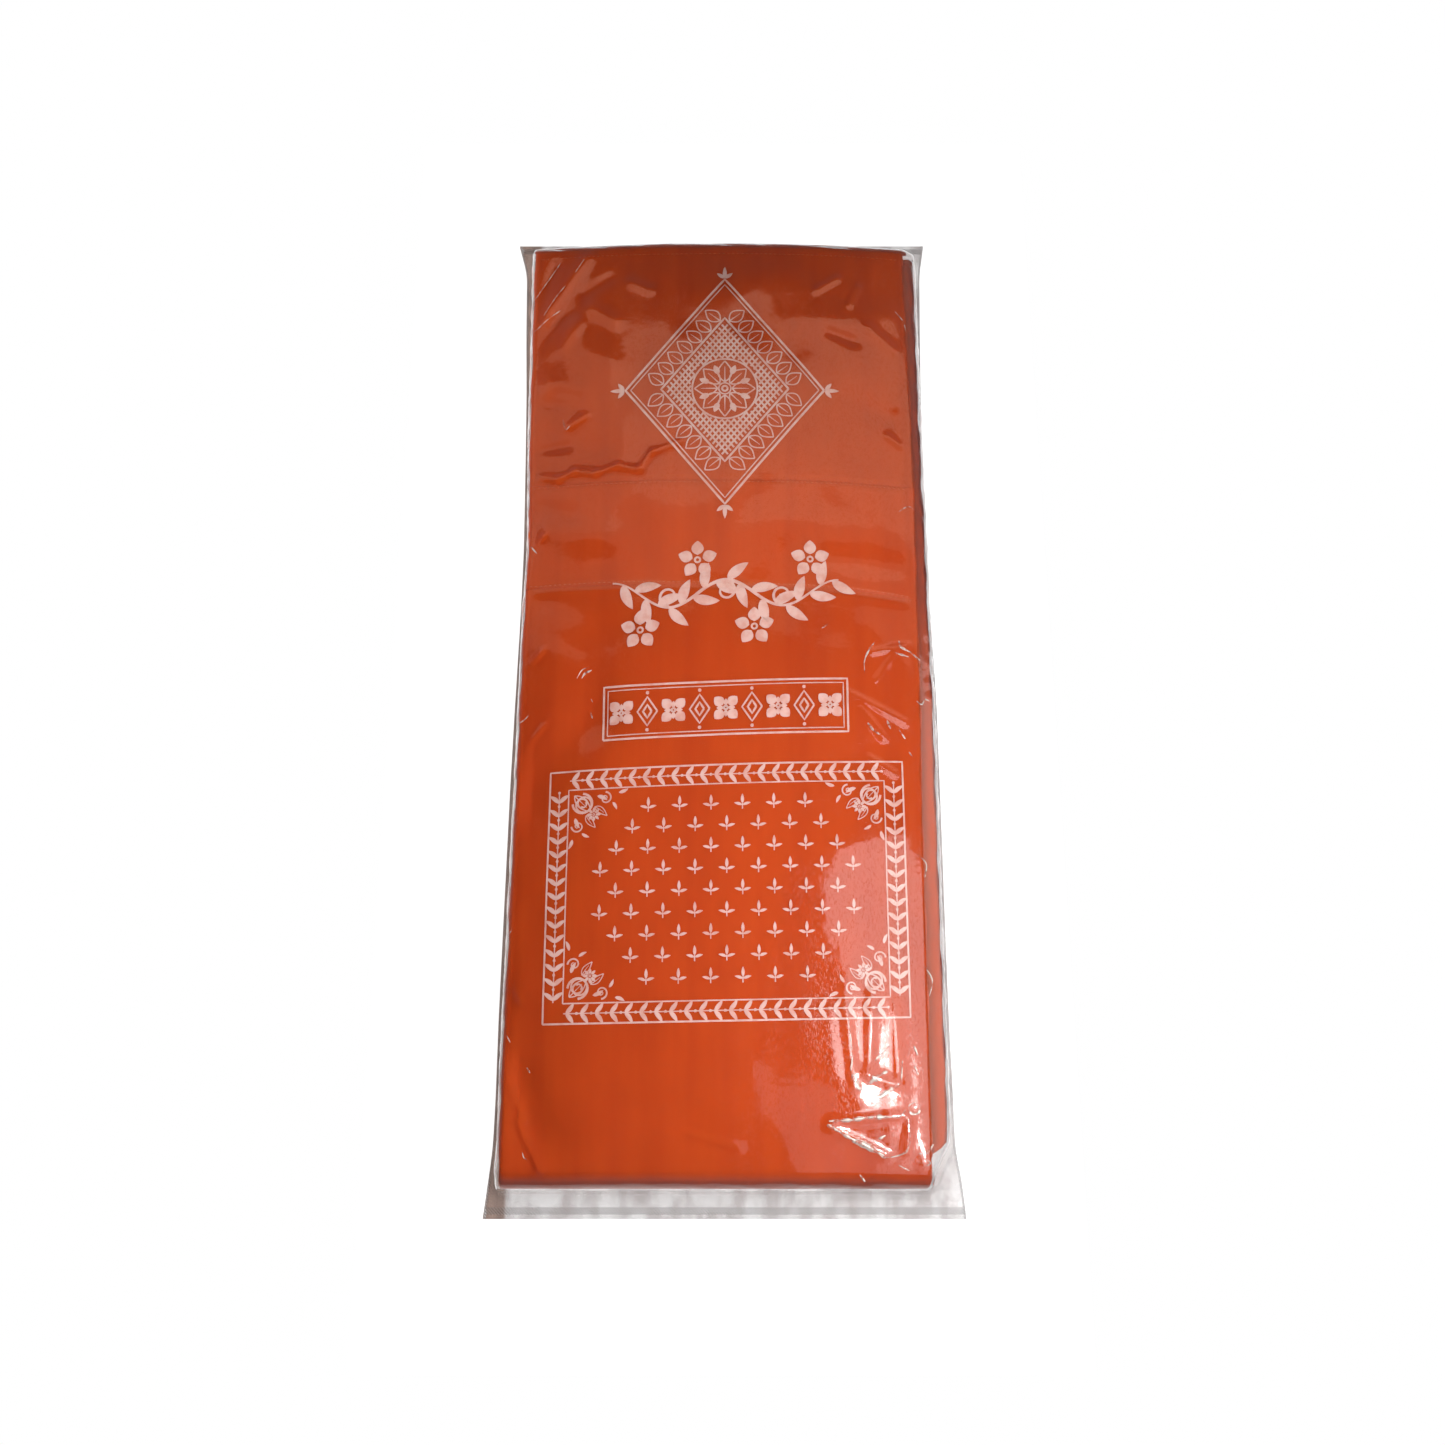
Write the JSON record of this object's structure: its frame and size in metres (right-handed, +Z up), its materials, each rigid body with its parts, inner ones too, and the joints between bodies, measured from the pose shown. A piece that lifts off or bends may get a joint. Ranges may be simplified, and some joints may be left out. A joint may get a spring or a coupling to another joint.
{
  "type": "folded buddhist monk robe in a clear bag",
  "caption": "Saffron monk's robe, pleated and folded in three to a long flat stack with layered edges and a cross band, lying in a clear bag.",
  "frame": {"origin": "middle of the underside of the bag, on the surface that it lies on", "axes": "+Y along the stack, from the wrapped end to the free end; +X across it, to the right in the picture; +Z up, out of the surface"},
  "size_m": [0.282, 0.636, 0.0393],
  "materials": {
    "robe_cloth": "plain saffron-orange weave, matt with a slight sheen",
    "robe_band": "the same cloth, doubled and stitched along both edges",
    "robe_fold_edges": "the same cloth, folded edges",
    "clear_film": "clear glossy film with a pale pink-white ornament print",
    "clear_back_film": "clear glossy film"
  },
  "bodies": {
    "root": {"top_panel_far": "robe_cloth", "cross_band": "robe_band", "top_panel_near": "robe_cloth", "folded_layers": "robe_fold_edges", "bag_front": "clear_film", "bag_back": "clear_back_film"}
  },
  "joints": []
}
